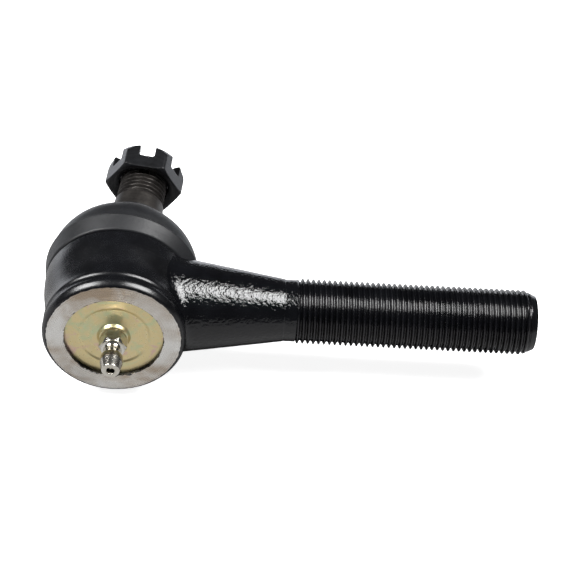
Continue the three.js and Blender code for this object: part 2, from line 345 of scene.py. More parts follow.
paint = {
    "deep": (0.0012, 0.0013, 0.0018),
    "light": (0.0030, 0.0033, 0.0043),
    "dust": (0.014, 0.0145, 0.0155),
}

steelRing = {
    "bright": (0.74, 0.73, 0.70),
    "brown": (0.40, 0.32, 0.24),
    "roughness": 0.27,
    "outerEdge": 0.01905,  # where the bare face meets the paint
}


def paintLook(name, peelSize, peelDepth, axis, turnedDepth, roughness, bareRing=False):
    # Gloss black paint: orange peel of one size over a finer grain, turned lines showing through,
    # dust in the hollows, and where asked for the bare turned face of the rolled lip, with painted shade
    # on it: browner and darker towards the top, and a ragged band of dark paint colour along its inner
    # edge
    material, tree, shader = startMaterial(name, {"IOR": 1.5})
    where, height, distance = aboutAxis(tree, axis)
    peel = noise(tree, where, 1 / peelSize, 2.5, 0.55, 0.2)
    grain = noise(tree, where, 5200, 3, 0.6)
    patches = noise(tree, where, 120, 4, 0.6)
    toolLines = lines(tree, height, 2600, 4)
    colour = ramp(tree, patches, [(0.35, paint["deep"]), (0.7, paint["light"])])
    specks = ramp(tree, noise(tree, where, 2600, 2, 0.7), [(0.68, (0, 0, 0)), (0.76, (1, 1, 1))])
    dusty = calculate(tree, "MULTIPLY", specks, mapRange(tree, patches, 0.45, 0.75, 0, 0.6))
    colour = mixColour(tree, dusty, colour, paint["dust"])
    gloss = mapRange(tree, calculate(tree, "ADD", patches, grain), 0.6, 1.4,
                     roughness - 0.05, roughness + 0.07)
    normal = bump(tree, toolLines, turnedDepth)
    normal = bump(tree, peel, peelDepth, 1, normal)
    normal = bump(tree, grain, 0.000012, 1, normal)
    if bareRing:
        ragged = mapRange(tree, noise(tree, where, 900, 3), 0.3, 0.7, -0.00018, 0.00018)
        edge = calculate(tree, "ADD", distance, ragged)
        inside = mapRange(tree, edge, steelRing["outerEdge"], steelRing["outerEdge"] + 0.0001, 1, 0)
        front = mapRange(tree, height, -0.01632, -0.01642, 0, 1)
        # Painted shade: a ragged band along the lip's inner edge, where it meets the cover, keeps the
        # dark paint colour instead of bare steel
        innerShadeRadius = mapRange(tree, noise(tree, where, 700, 4, 0.7), 0.42, 0.62, 0.0140, 0.01445)
        clearOfInnerShade = mapRange(tree, calculate(tree, "SUBTRACT", distance, innerShadeRadius), 0, 0.0001, 0, 1)
        bare = calculate(tree, "MULTIPLY", calculate(tree, "MULTIPLY", inside, front), clearOfInnerShade)
        rings = lines(tree, distance, 5200, 4)
        tarnishAndTopShade = noise(tree, where, 75, 3, 0.6, 0.6)
        # Painted shade: the bare steel turns browner and darker towards the top (+Z), laid over a random
        # tarnish
        upwards = place(tree, "ShaderNodeSeparateXYZ", {0: where}).outputs["Z"]
        tarnishAndTopShade = calculate(tree, "SUBTRACT", tarnishAndTopShade, mapRange(tree, upwards, 0.002, 0.018, 0, 0.16))
        steel = ramp(tree, calculate(tree, "ADD", calculate(tree, "MULTIPLY", rings, 0.3),
                                     calculate(tree, "MULTIPLY", tarnishAndTopShade, 0.8)),
                     [(0.38, steelRing["brown"]), (0.62, steelRing["bright"])])
        colour = mixColour(tree, bare, colour, steel)
        steelGloss = mapRange(tree, rings, 0.3, 0.7, steelRing["roughness"] - 0.1,
                              steelRing["roughness"] + 0.12)
        gloss = mixNumber(tree, bare, gloss, steelGloss)
        tree.links.new(bare, shader.inputs["Metallic"])
        normal = bump(tree, calculate(tree, "MULTIPLY", rings, bare), 0.00004, 1, normal)
    tree.links.new(colour, shader.inputs["Base Color"])
    tree.links.new(gloss, shader.inputs["Roughness"])
    tree.links.new(normal, shader.inputs["Normal"])
    return material


zinc = {
    "gold": (0.74, 0.615, 0.330),
    "rose": (0.72, 0.50, 0.42),
    "green": (0.56, 0.62, 0.38),
    "roughness": 0.34,
}


def zincLook():
    # Yellow chromate on zinc: a gold film that drifts towards rose and green, over turned lines
    material, tree, shader = startMaterial("yellowZinc", {"Metallic": 1.0})
    where, _, distance = aboutAxis(tree, upright)
    drift = noise(tree, where, 130, 3, 0.55, 1.2)
    fine = noise(tree, where, 1500, 3, 0.6)
    colour = ramp(tree, drift, [(0.3, zinc["green"]), (0.45, zinc["gold"]), (0.56, zinc["gold"]),
                                (0.68, zinc["rose"])])
    colour = mixColour(tree, mapRange(tree, fine, 0.45, 0.75, 0, 0.35), colour, (0.7, 0.68, 0.56))
    rings = lines(tree, distance, 3600, 3)
    gloss = mapRange(tree, calculate(tree, "ADD", fine, rings), 0.7, 1.3,
                     zinc["roughness"] - 0.08, zinc["roughness"] + 0.12)
    normal = bump(tree, rings, 0.00002)
    normal = bump(tree, fine, 0.000025, 1, normal)
    tree.links.new(colour, shader.inputs["Base Color"])
    tree.links.new(gloss, shader.inputs["Roughness"])
    tree.links.new(normal, shader.inputs["Normal"])
    return material


def turnedMetalLook(name, bright, dull, roughness, axis, lineSize, lineDepth, metallic=1.0):
    # Bare or plated metal with turned lines along its axis, stains, and uneven gloss
    material, tree, shader = startMaterial(name, {"Metallic": metallic})
    where, height, distance = aboutAxis(tree, axis)
    stains = noise(tree, where, 260, 4, 0.6, 0.5)
    fine = noise(tree, where, 3000, 3, 0.6)
    toolLines = lines(tree, calculate(tree, "ADD", height, distance), 1 / lineSize, 3)
    colour = ramp(tree, calculate(tree, "ADD", calculate(tree, "MULTIPLY", stains, 0.7),
                                  calculate(tree, "MULTIPLY", toolLines, 0.3)),
                  [(0.36, dull), (0.6, bright)])
    gloss = mapRange(tree, calculate(tree, "ADD", fine, toolLines), 0.6, 1.4,
                     roughness - 0.07, roughness + 0.12)
    normal = bump(tree, toolLines, lineDepth)
    normal = bump(tree, fine, 0.00001, 1, normal)
    tree.links.new(colour, shader.inputs["Base Color"])
    tree.links.new(gloss, shader.inputs["Roughness"])
    tree.links.new(normal, shader.inputs["Normal"])
    return material


rubber = {
    "deep": (0.0028, 0.0030, 0.0038),
    "worn": (0.0065, 0.0070, 0.0085),
    "bloom": (0.022, 0.023, 0.026),
    "roughness": 0.44,
}


def rubberLook():
    # Matt black moulded rubber: a fine mould grain, and a grey bloom that gathers in patches
    material, tree, shader = startMaterial("bootRubber", {
        "Sheen Weight": 0.12, "Sheen Roughness": 0.35, "IOR": 1.5, "Specular IOR Level": 0.34,
    })
    where = aboutAxis(tree, upright)[0]
    patches = noise(tree, where, 90, 4, 0.6, 0.4)
    grain = noise(tree, where, 4200, 3, 0.65)
    specks = noise(tree, where, 1900, 2, 0.6)
    colour = ramp(tree, patches, [(0.3, rubber["deep"]), (0.7, rubber["worn"])])
    colour = mixColour(tree, mapRange(tree, specks, 0.6, 0.78, 0, 0.5), colour, rubber["bloom"])
    gloss = mapRange(tree, calculate(tree, "ADD", grain, patches), 0.6, 1.4,
                     rubber["roughness"] - 0.1, rubber["roughness"] + 0.14)
    normal = bump(tree, grain, 0.00005)
    normal = bump(tree, patches, 0.0002, 0.6, normal)
    tree.links.new(colour, shader.inputs["Base Color"])
    tree.links.new(gloss, shader.inputs["Roughness"])
    tree.links.new(normal, shader.inputs["Normal"])
    return material


def plasticLook():
    # Natural acetal: milky, with faint flow marks and a soft moulded grain
    material, tree, shader = startMaterial("bearingPlastic", {"IOR": 1.48, "Subsurface Weight": 0.1})
    where = aboutAxis(tree, upright)[0]
    flow = noise(tree, where, 160, 3, 0.6, 2.0)
    grain = noise(tree, where, 2600, 3, 0.6)
    colour = ramp(tree, flow, [(0.3, (0.60, 0.56, 0.46)), (0.7, (0.76, 0.73, 0.64))])
    tree.links.new(colour, shader.inputs["Base Color"])
    tree.links.new(mapRange(tree, grain, 0.3, 0.7, 0.38, 0.56), shader.inputs["Roughness"])
    tree.links.new(bump(tree, grain, 0.00002), shader.inputs["Normal"])
    return material


looks = {
    "barrelPaint": paintLook("barrelPaint", 0.0021, 0.00003, upright, 0.00003, 0.24, bareRing=True),
    "neckPaint": paintLook("neckPaint", 0.0010, 0.00019, shankAxis, 0.000002, 0.10),
    "threadPaint": paintLook("threadPaint", 0.0009, 0.00004, shankAxis, 0.000002, 0.18),
    "zinc": zincLook(),
    "nickel": turnedMetalLook("brightNickel", (0.74, 0.72, 0.66), (0.52, 0.48, 0.40), 0.16,
                              upright, 0.00035, 0.000012),
    "stud": turnedMetalLook("phosphatedStud", (0.040, 0.036, 0.033), (0.014, 0.0125, 0.0115), 0.42,
                            studAxis, 0.0004, 0.00003, 0.7),
    "nut": turnedMetalLook("blackOxideNut", (0.0085, 0.009, 0.0105), (0.003, 0.003, 0.0037), 0.34,
                           studAxis, 0.0006, 0.000012, 0.4),
    "spring": turnedMetalLook("springSteel", (0.30, 0.31, 0.33), (0.16, 0.16, 0.17), 0.36,
                              upright, 0.0004, 0.00001),
    "rubber": rubberLook(),
    "plastic": plasticLook(),
}
print("finishes mixed:", len(looks))


barrel = {
    "lipFace": -16.5,
    "lipOpening": 14.0,
    "shoulder": 6.0,
    "sides": 200,
    # radius and height of the turned outside, from the rolled edge up to the boot's seat
    "outside": [(19.25, -16.42), (19.75, -16.05), (20.3, -15.15), (20.5, -14.2), (20.32, -13.3),
                (20.08, -12.55), (20.14, -11.85), (20.42, -11.1), (20.4, -10.4), (20.27, -9.2),
                (20.25, -7.6), (20.35, -5.8), (20.75, -2.8), (21.25, 0.6), (21.42, 3.0), (21.45, 5.3)],
}


def barrelProfile():
    lip, opening, shoulder = barrel["lipFace"], barrel["lipOpening"], barrel["shoulder"]
    outside = curveThrough(barrel["outside"], 5)
    lipEdge = softProfile([(opening, lip + 1), (opening + 0.12, lip), (18.7, lip), (19.25, lip + 0.08)],
                          0.25)
    inside = softProfile([(21.45, 5.3), (21.45, shoulder), (16.9, shoulder), (16.9, 8.6), (10.6, 8.6),
                          (10.6, 7.5), (12.9, 6.0), (14.6, 3.4), (15.3, 0.6), (15.3, -12.9),
                          (16.6, -12.9), (16.6, lip + 1), (opening, lip + 1)], 0.4)
    return np.vstack([lipEdge[:-1], outside, inside[1:-1]])


barrelPiece = ringMesh("socketBarrel", turnedRings(barrelProfile(), barrel["sides"]), loop=True)
finishPiece(barrelPiece, "socket", ["housing"], looks["barrelPaint"])
print("socket barrel made")


neck = {
    "rootRadius": 13.23,  # at rootAt, widening towards the barrel
    "rootAt": 22.0,
    "slope": 0.155,
    "end": 48.4,
    "reliefRadius": 9.0,
    "reliefEnd": 52.0,
    "filletOnBarrel": 2.2,
    "filletOnNeck": 2.8,
    "seatRadius": 24.3,
    "roughness": 0.02,
    "sides": 200,
}


def neckRadius(distance):
    return neck["rootRadius"] - neck["slope"] * (distance - neck["rootAt"])


def barrelRadius(height):
    outside = np.array(barrel["outside"])
    return np.interp(height, outside[:, 1], outside[:, 0])


def neckRings():
    # Where the cone meets the barrel is found at each angle by halving. The fillet is a curve from
    # the barrel to the cone that this meeting point pulls towards itself.
    angle = np.linspace(0, fullTurn, neck["sides"], endpoint=False)
    cosine, sine = np.cos(angle), np.sin(angle)
    low, high = np.full_like(angle, 2.0), np.full_like(angle, 26.0)
    for _ in range(40):
        middle = (low + high) / 2
        radius = neckRadius(middle)
        outside = middle ** 2 + (radius * sine) ** 2 > barrelRadius(radius * cosine) ** 2
        low, high = np.where(outside, low, middle), np.where(outside, middle, high)
    meeting = np.stack([high, neckRadius(high) * cosine, neckRadius(high) * sine], -1)
    spread = np.minimum(neckRadius(high) + neck["filletOnBarrel"],
                        15.9 / np.maximum(np.abs(cosine), 1e-6))
    sunk = barrelRadius(spread * cosine) - 0.06
    onBarrel = np.stack([np.sqrt(np.maximum(sunk ** 2 - (spread * sine) ** 2, 1)),
                         spread * cosine, spread * sine], -1)
    tangentEnd = high + neck["filletOnNeck"]
    onNeck = np.stack([tangentEnd, neckRadius(tangentEnd) * cosine,
                       neckRadius(tangentEnd) * sine], -1)
    share = np.linspace(0, 1, 15)[:, None, None]
    fillet = (1 - share) ** 2 * onBarrel + 2 * share * (1 - share) * meeting + share ** 2 * onNeck

    # Rings that close the root inside the barrel's wall
    shrink = np.array([0.02, 0.35, 0.7, 0.97])[:, None]
    innerRadius = spread * shrink
    inner = np.stack([np.sqrt(np.maximum(17.6 ** 2 - (innerRadius * sine) ** 2, 1)),
                      innerRadius * cosine, innerRadius * sine], -1)

    share = np.linspace(0, 1, 150)[1:, None]
    stations = tangentEnd + (neck["end"] - 0.5 - tangentEnd) * share
    cone = np.stack([stations, neckRadius(stations) * cosine, neckRadius(stations) * sine], -1)
    step = softProfile([(neckRadius(47.9), 47.9), (neckRadius(48.3), 48.3), (neck["reliefRadius"], 48.5),
                        (neck["reliefRadius"], neck["reliefEnd"])], 0.3)[1:]
    tail = np.stack([step[:, 1][:, None] + 0 * angle, step[:, 0][:, None] * cosine,
                     step[:, 0][:, None] * sine], -1)
    rings = np.concatenate([inner, fillet, cone, tail])

    # Hammer scale and thick paint, fading out on the turned relief and where it meets the barrel
    weight = smoothStep(rings[..., 0], 15, 21) * (1 - smoothStep(rings[..., 0], 47, 48.4))
    rough = unevenness(rings, 11, 60, 2.6) * 0.6 + unevenness(rings, 12, 40, 7.0) * 0.7
    push = np.zeros_like(rings)
    around = np.linalg.norm(rings[..., 1:], axis=-1, keepdims=True)
    push[..., 1:] = rings[..., 1:] / np.maximum(around, 1e-6)
    return rings + push * (rough * weight * neck["roughness"])[..., None]


seatCutter = ringMesh("seatCutter", turnedRings(np.array([
    (0.5, 8.6), (16.5, 8.6), (16.9, 8.2), (16.9, 6.0), (neck["seatRadius"], 6.0),
    (neck["seatRadius"], 20.0), (0.5, 20.0)]), 160))
neckPiece = cutAway(ringMesh("shankNeck", neckRings()), seatCutter)
finishPiece(neckPiece, "socket", ["housing"], looks["neckPaint"])
print("neck made:", len(neckPiece.data.polygons), "faces")


shankThread = {
    "major": 19.05, "minor": 17.1, "pitch": 1.5875, "start": 51.4, "end": 122.0,
    "chamfer": 3.4, "chamferSlope": 0.47, "sides": 96, "rowsPerPitch": 11, "phase": 0.286,
}

studThread = {
    "major": 14.2, "minor": 12.6, "pitch": 1.4111, "start": 38.1, "end": 50.0,
    "chamfer": 0.9, "chamferSlope": 0.6, "sides": 96, "rowsPerPitch": 12, "phase": 0.0,
}


def threadRadius(thread, height, angle):
    # A crest flat an eighth of a pitch wide, straight flanks and a root flat a sixth wide, with
    # their corners eased, that climb one pitch in a turn; held inside the chamfered bar
    phase = (height - thread["start"]) / thread["pitch"] - angle / fullTurn + thread["phase"]
    offCrest = np.abs(phase - np.floor(phase) - 0.5)
    flank = np.clip((offCrest - 0.0625) / 0.354, 0, 1)
    flank = 0.55 * flank + 0.45 * flank * flank * (3 - 2 * flank)
    depth = (thread["major"] - thread["minor"]) / 2
    radius = thread["major"] / 2 - depth * flank
    chamferFrom = thread["end"] - thread["chamfer"]
    atEnd = thread["major"] / 2 - thread["chamferSlope"] * (height - chamferFrom)
    atStart = thread["minor"] / 2 - 0.05 + (height - thread["start"])
    return np.minimum(np.minimum(radius, atEnd), atStart)


def threadRows(thread):
    count = int((thread["end"] - thread["start"]) / thread["pitch"] * thread["rowsPerPitch"])
    return np.linspace(thread["start"], thread["end"], count)[:, None]


def shankThreadRings():
    angle = np.linspace(0, fullTurn, shankThread["sides"], endpoint=False)[None, :]
    height = threadRows(shankThread) + 0 * angle
    radius = threadRadius(shankThread, height, angle)
    endRadius = radius[-1:].min()
    face = np.array([0.985, 0.93, 0.5, 0.1])[:, None] * endRadius + 0 * angle
    height = np.concatenate([height, np.full_like(face, shankThread["end"])])
    radius = np.concatenate([radius, face])
    rings = np.stack([height, radius * np.cos(angle), radius * np.sin(angle)], -1)
    # Paint lies thicker on some crests than on others
    paintBuild = unevenness(rings, 21, 40, 5.0) * 0.03
    paintBuild[-4:] = 0
    return rings * (1 + np.stack([0 * radius, paintBuild / 9.5, paintBuild / 9.5], -1))


threadPiece = ringMesh("shankThread", shankThreadRings(), sharp=60)
finishPiece(threadPiece, "socket", ["housing"], looks["threadPaint"])
print("shank thread made:", len(threadPiece.data.polygons), "faces")


cover = {"edge": 16.3, "face": -15.2, "thickness": 2.0, "boss": 4.0, "bore": 3.3, "sides": 160}


def coverProfile():
    face, inside = cover["face"], cover["face"] + cover["thickness"]
    return softProfile([
        (cover["bore"], inside), (cover["bore"], -16.2), (cover["boss"], -16.2), (4.8, -15.0),
        (9.7, -14.75), (10.4, face), (16.0, face), (cover["edge"], face + 0.3),
        (cover["edge"], inside)], 0.35, closed=True)


coverPiece = ringMesh("crimpedCover", turnedRings(coverProfile(), cover["sides"]), loop=True)
finishPiece(coverPiece, "socket", ["cover_plate"], looks["zinc"])
print("cover made")


fitting = {
    "acrossFlats": 7.14,
    "hexBase": -16.45,
    "hexTop": -20.4,
    "sides": 144,
    # radius and height of the turned nose, from the hexagon to the tip
    "nose": [(3.35, -20.75), (2.62, -21.1), (2.52, -21.9), (2.58, -22.6), (2.95, -23.7), (3.2, -24.5),
             (3.2, -26.3), (3.02, -27.2), (2.6, -29.2)],
    "tip": -29.66,
    "mouth": 1.15,
}


def fittingRings():
    # The hexagon is a soft one: its radius is a high power mean of its three pairs of flats,
    # limited by a turned chamfer at the top; the nose below it is plainly turned
    angle = np.linspace(0, fullTurn, fitting["sides"], endpoint=False)[None, :]
    pairs = np.array([0, 1, 2])[:, None, None] * math.pi / 3 + math.pi / 2
    flat = fitting["acrossFlats"] / 2
    hexagon = ((np.abs(np.cos(angle - pairs)) / flat) ** 34).sum(0) ** (-1 / 34)
    corner = fitting["acrossFlats"] / math.sqrt(3)
    base, top = fitting["hexBase"], fitting["hexTop"]
    hexLimits = softProfile([(3.0, base + 0.05), (corner - 0.35, base), (corner + 0.3, base - 0.3),
                             (corner + 0.3, top + 0.75), (3.35, top), (3.35, -20.75)], 0.2)
    shank = np.array([(0.4, -12.0), (2.6, -12.0), (3.0, -12.4), (3.0, base + 0.05)])
    nose = curveThrough(fitting["nose"], 6)
    tip = softProfile([(2.6, -29.2), (2.5, fitting["tip"]), (fitting["mouth"], fitting["tip"]),
                       (fitting["mouth"], -28.75), (1.6, -28.3), (1.6, -23.6), (0.3, -23.6)], 0.22)[1:]
    profile = np.vstack([shank, hexLimits[1:-1], nose, tip])
    radius = np.minimum(profile[:, 0][:, None], hexagon)
    height = profile[:, 1][:, None] + 0 * angle
    return np.stack([radius * np.cos(angle), height, radius * np.sin(angle)], -1)


fittingPiece = ringMesh("greaseFitting", fittingRings())
finishPiece(fittingPiece, "socket", ["grease_fitting_body"], looks["nickel"])

checkBall = {"radius": 1.2, "middle": -27.45}
ballLatitude = np.linspace(-math.pi / 2 + 0.06, math.pi / 2 - 0.06, 30)
ballOutline = np.stack([checkBall["radius"] * np.cos(ballLatitude),
                        checkBall["middle"] + checkBall["radius"] * np.sin(ballLatitude)], -1)
checkBallPiece = ringMesh("fittingBall", turnedRings(ballOutline, 48))
finishPiece(checkBallPiece, "check_ball", ["grease_fitting_check_ball"], looks["nickel"])
print("grease fitting made")


boot = {
    "wall": 1.7,
    "foot": 6.75,
    "brow": 11.6,
    "browRadius": 22.92,
    "domeRadius": 22.3,
    "domeHeight": 16.9,
    "roundness": 1.85,
    "seam": 22.0,  # height at which the skirt piece hands over to the collar piece
    "squared": 28.0,  # from here up the boot is square to the stud
    "browPull": (0.9, 0.0, 0.4),  # how far the stud drags the brow sideways
    "browTurn": -4.3,  # degrees about Z
    "footTurn": -1.1,
    "sides": 200,
}


def domeRadius(height):
    rise = np.clip((height - boot["brow"]) / boot["domeHeight"], 0, 1)
    return boot["domeRadius"] * (1 - rise ** boot["roundness"]) ** (1 / boot["roundness"])


def bootPose(height):
    # The middle of the boot at a height, and its turn. From foot to brow both grow evenly; above
    # the brow the middle soon joins the stud's axis and the turn follows near the top.
    foot, brow = boot["foot"], boot["brow"]
    up = np.array([0.0, 1.0, 0.0])
    height = height[..., None]
    below = np.clip((height - foot) / (brow - foot), 0, 1)
    above = np.clip((height - brow) / (boot["squared"] - brow), 0, 1)
    start = height * up + below * np.array(boot["browPull"])
    middle = start + (height * studAxis - start) * above ** 0.45
    browTurn = np.array([0, 0, math.radians(boot["browTurn"])])
    footTurn = np.array([0, 0, math.radians(boot["footTurn"])])
    turn = footTurn + (browTurn - footTurn) * below
    return middle, turn + (leanVector - turn) * above ** 3


def bentWithStud(rings):
    # Each ring of the upright boot is dented a little, turned about its middle, and moved to where
    # the leaning stud pulls it
    middle, turn = bootPose(rings[..., 1])
    dents = unevenness(rings, 31, 30, 16.0) * 0.05 * smoothStep(rings[..., 1], 12.5, 15)
    level = rings * np.array([1.0, 0.0, 1.0])
    outward = level / np.maximum(np.linalg.norm(level, axis=-1, keepdims=True), 1e-6)
    return middle + turned(level + outward * dents[..., None], turn)


def domeCurve(fromHeight, toHeight, inwards, steps):
    height = np.linspace(fromHeight, toHeight, steps)
    return np.stack([domeRadius(height + inwards) - 0.4 * inwards, height], -1)


def skirtProfile():
    foot, brow, edge = boot["foot"], boot["brow"], boot["browRadius"]
    skirt = softProfile([(17.5, foot), (21.15, foot), (21.55, foot + 0.35), (21.8, foot + 1.2),
                         (edge, brow - 0.12), (edge - 0.12, brow + 0.14), (22.42, brow + 0.4),
                         (float(domeRadius(brow + 1.2)), brow + 1.2)],
                        [0.3, 0.35, 0.3, 0.6, 0.1, 0.12, 0.25, 0.1])
    outer = domeCurve(brow + 1.5, boot["seam"], 0, 40)
    inner = domeCurve(boot["seam"], brow + 1.7, boot["wall"], 24)
    lining = softProfile([(20.4, brow + 0.5), (20.2, brow - 0.9), (19.4, foot + 2.2),
                          (17.5, foot + 1.8), (17.5, foot)], 0.4)
    return np.vstack([skirt, outer, inner, lining[:-1]])


def collarProfile():
    outer = domeCurve(boot["seam"], 25.8, 0, 26)
    rim = curveThrough([(float(domeRadius(25.8)), 25.8), (10.9, 26.45), (10.0, 26.95), (9.6, 27.5),
                        (9.55, 28.2), (9.6, 28.85), (10.1, 29.35), (10.15, 29.8), (9.7, 30.0),
                        (8.9, 30.0), (8.5, 29.7), (8.5, 28.4), (8.6, 26.2), (9.6, 24.9),
                        (float(domeRadius(22.4 + boot["wall"])) - 1.1, 22.9)], 5)
    last = domeCurve(boot["seam"] + 0.2, boot["seam"], boot["wall"], 2)
    return np.vstack([outer, rim[1:], last])


skirtPiece = ringMesh("bootSkirtAndWall", bentWithStud(turnedRings(skirtProfile(), boot["sides"])),
                      loop=True, sharp=30)
collarPiece = ringMesh("bootCollar", bentWithStud(turnedRings(collarProfile(), boot["sides"])),
                       loop=True, sharp=50)


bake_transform(skirtPiece)
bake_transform(collarPiece)
finishPiece(skirtPiece, None, ["boot_skirt", "boot_wall"], looks["rubber"])
finishPiece(collarPiece, None, ["boot_neck"], looks["rubber"])

collarRing = {"radius": 10.35, "wire": 0.55, "height": 28.15}
wireAngle = np.linspace(0, fullTurn, 20, endpoint=False)
wireOutline = np.stack([collarRing["radius"] + collarRing["wire"] * np.cos(wireAngle),
                        collarRing["height"] + collarRing["wire"] * np.sin(wireAngle)], -1)
collarRingPiece = ringMesh("collarRing", leaned(turnedRings(wireOutline, 120)), loop=True)
finishPiece(collarRingPiece, "boot_top", ["boot_neck_ring"], looks["spring"])
print("boot made")


stud = {
    "ballRadius": 11.9,
    "ballFlat": -9.2,
    "neckRadius": 6.0,
    "taperWide": (8.5, 21.0),
    "taperNarrow": (7.45, 37.2),
    "pinHole": 1.7,
    "pinHoleAt": 46.0,
}


def studRings():
    sides = studThread["sides"]
    angle = np.linspace(0, fullTurn, sides, endpoint=False)[None, :]
    neckStart = math.sqrt(stud["ballRadius"] ** 2 - stud["neckRadius"] ** 2)
    latitude = np.linspace(math.asin(stud["ballFlat"] / stud["ballRadius"]),
                           math.asin(neckStart / stud["ballRadius"]), 40)
    ball = stud["ballRadius"] * np.stack([np.cos(latitude), np.sin(latitude)], -1)
    flat = np.array([(0.2, stud["ballFlat"]), (ball[0, 0] - 0.3, stud["ballFlat"])])
    body = softProfile([ball[-1], (6.0, 12.6), (6.5, 15.4), (7.8, 18.4), (8.5, 19.8),
                        stud["taperWide"], stud["taperNarrow"], (6.75, 37.8),
                        (6.3, studThread["start"])], 0.5)[1:]
    profile = np.vstack([flat, ball, body])
    height = np.concatenate([profile[:, 1][:, None] + 0 * angle, threadRows(studThread) + 0 * angle])
    plain = profile[:, 0][:, None] + 0 * angle
    threaded = threadRadius(studThread, threadRows(studThread) + 0 * angle, -angle)
    radius = np.concatenate([plain, threaded])
    endRadius = threaded[-1:].min()
    face = np.array([0.97, 0.9, 0.4, 0.08])[:, None] * endRadius + 0 * angle
    radius = np.concatenate([radius, face])
    height = np.concatenate([height, np.full_like(face, studThread["end"])])
    return np.stack([radius * np.cos(angle), height, radius * np.sin(angle)], -1)


def crossHole(name, radius, height, reach):
    # A long cylinder along Z, through the stud's axis
    angle = np.linspace(0, fullTurn, 40, endpoint=False)[None, :]
    depth = np.array([-reach, reach])[:, None]
    rings = np.stack([radius * np.cos(angle) + 0 * depth, height + radius * np.sin(angle) + 0 * depth,
                      depth + 0 * angle], -1)
    return ringMesh(name, leaned(rings))


pinCutter = crossHole("pinCutter", stud["pinHole"], stud["pinHoleAt"], 15)
studPiece = cutAway(ringMesh("ballStud", leaned(studRings()), sharp=50), pinCutter)
finishPiece(studPiece, "stud", ["ball_stud"], looks["stud"])
print("ball stud made:", len(studPiece.data.polygons), "faces")


nut = {
    "seat": 44.1,
    "height": 8.7,
    "acrossFlats": 20.64,
    "turn": 1.5,
    "slotWidth": 4.6,
    "slotDepth": 4.2,
    "bore": 7.4,
    "voxel": 0.17,
}


def nutBlank():
    # A hexagon whose radius is a high power mean of its flats, held inside a turned outline that
    # has a chamfer below and a long rounding above
    angle = np.linspace(0, fullTurn, 240, endpoint=False)[None, :]
    pairs = np.array([0, 1, 2])[:, None, None] * math.pi / 3 + math.pi / 2
    flat = nut["acrossFlats"] / 2
    hexagon = ((np.abs(np.cos(angle - pairs)) / flat) ** 60).sum(0) ** (-1 / 60)
    corner = nut["acrossFlats"] / math.sqrt(3)
    low, high = nut["seat"], nut["seat"] + nut["height"]
    outline = softProfile([
        (0.3, low), (corner - 1.3, low), (corner + 0.2, low + 0.75), (corner + 0.2, high - 4.1),
        (corner - 0.35, high - 2.0), (corner - 1.5, high - 0.1), (corner - 2.1, high), (0.3, high)], 0.5)
    radius = np.minimum(outline[:, 0][:, None], hexagon)
    height = outline[:, 1][:, None] + 0 * angle
    return np.stack([radius * np.cos(angle), height, radius * np.sin(angle)], -1)


def slotCutter(turn):
    # A bar across the nut with a round-cornered bottom: rings of its section, carried along it.
    # Each bar differs a little from the next, so that no two of them share a plane.
    width, depth = nut["slotWidth"] / 2, nut["slotDepth"] + turn * 0.0006
    top = nut["seat"] + nut["height"]
    section = softProfile([(-width, top - depth), (width, top - depth), (width, top + 4 + turn / 90),
                           (-width, top + 4 + turn / 90)], 0.7, closed=True)
    reach = np.array([-16.0, 16.0])[:, None] * (1 + turn / 900)
    across, height = section[:, 0][None, :], section[:, 1][None, :]
    rings = np.stack([across + 0 * reach, height + 0 * reach, reach + 0 * across], -1)
    return ringMesh("slotCutter", turnNut(turned(rings, (0, math.radians(turn), 0))))


def turnNut(rings):
    return leaned(turned(rings, (0, math.radians(nut["turn"]), 0)))


nutBore = ringMesh("nutBore", leaned(turnedRings(np.array([
    (0.3, 43.0), (9.6, 43.0), (9.2, 44.1), (nut["bore"], 45.2), (nut["bore"], 51.9),
    (8.3, 52.8), (8.3, 54.0), (0.3, 54.0)]), 96)))
nutPiece = cutAway(ringMesh("slottedNut", turnNut(nutBlank())), nutBore,
                   *[slotCutter(turn) for turn in (0, 60, 120)])
remesh = nutPiece.modifiers.new("even", "REMESH")
remesh.mode = "VOXEL"
remesh.voxel_size = nut["voxel"] * millimetre
remesh.adaptivity = 0
soften = nutPiece.modifiers.new("soften", "SMOOTH")
soften.factor = 0.5
soften.iterations = 5
settled(nutPiece, 60)
keepLargestShell(nutPiece)
finishPiece(nutPiece, "nut", ["castle_nut"], looks["nut"])
print("nut made:", len(nutPiece.data.polygons), "faces")


checkSpring = {
    "radius": 0.95,
    "wire": 0.15,
    "low": -26.0,
    "high": -24.0,
    "turns": 4,
    "closedTo": 0.46,  # share of its height left when the check ball is pushed right in
}


def coilRings():
    # A round wire section carried up a helix: outwards and square to the wire are its two axes
    turn = np.linspace(0, checkSpring["turns"] * fullTurn, 48 * checkSpring["turns"] + 1)
    climb = (checkSpring["high"] - checkSpring["low"]) / turn[-1]
    outward = np.stack([np.cos(turn), 0 * turn, np.sin(turn)], -1)
    middle = checkSpring["radius"] * outward
    middle[:, 1] = checkSpring["low"] + climb * turn
    along = np.stack([-checkSpring["radius"] * np.sin(turn), climb + 0 * turn,
                      checkSpring["radius"] * np.cos(turn)], -1)
    over = np.cross(along, outward)
    over /= np.linalg.norm(over, axis=1, keepdims=True)
    angle = np.linspace(0, fullTurn, 12, endpoint=False)[None, :, None]
    section = np.cos(angle) * outward[:, None] + np.sin(angle) * over[:, None]
    return middle[:, None] + checkSpring["wire"] * section


springPiece = finishPiece(ringMesh("checkSpring", coilRings()), "socket",
                          ["grease_fitting_spring"], looks["spring"])
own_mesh(springPiece)
print("check spring made")


# Hidden pieces keep their CAD shape and get a finish
hiddenFinishes = {
    "preload_disc_spring": "spring",
    "boot_clip_ring": "spring",
    "upper_bearing": "plastic",
    "lower_bearing": "plastic",
}
for nodeName, look in hiddenFinishes.items():
    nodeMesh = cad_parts[nodeName].data
    nodeMesh.materials.clear()
    nodeMesh.materials.append(looks[look])


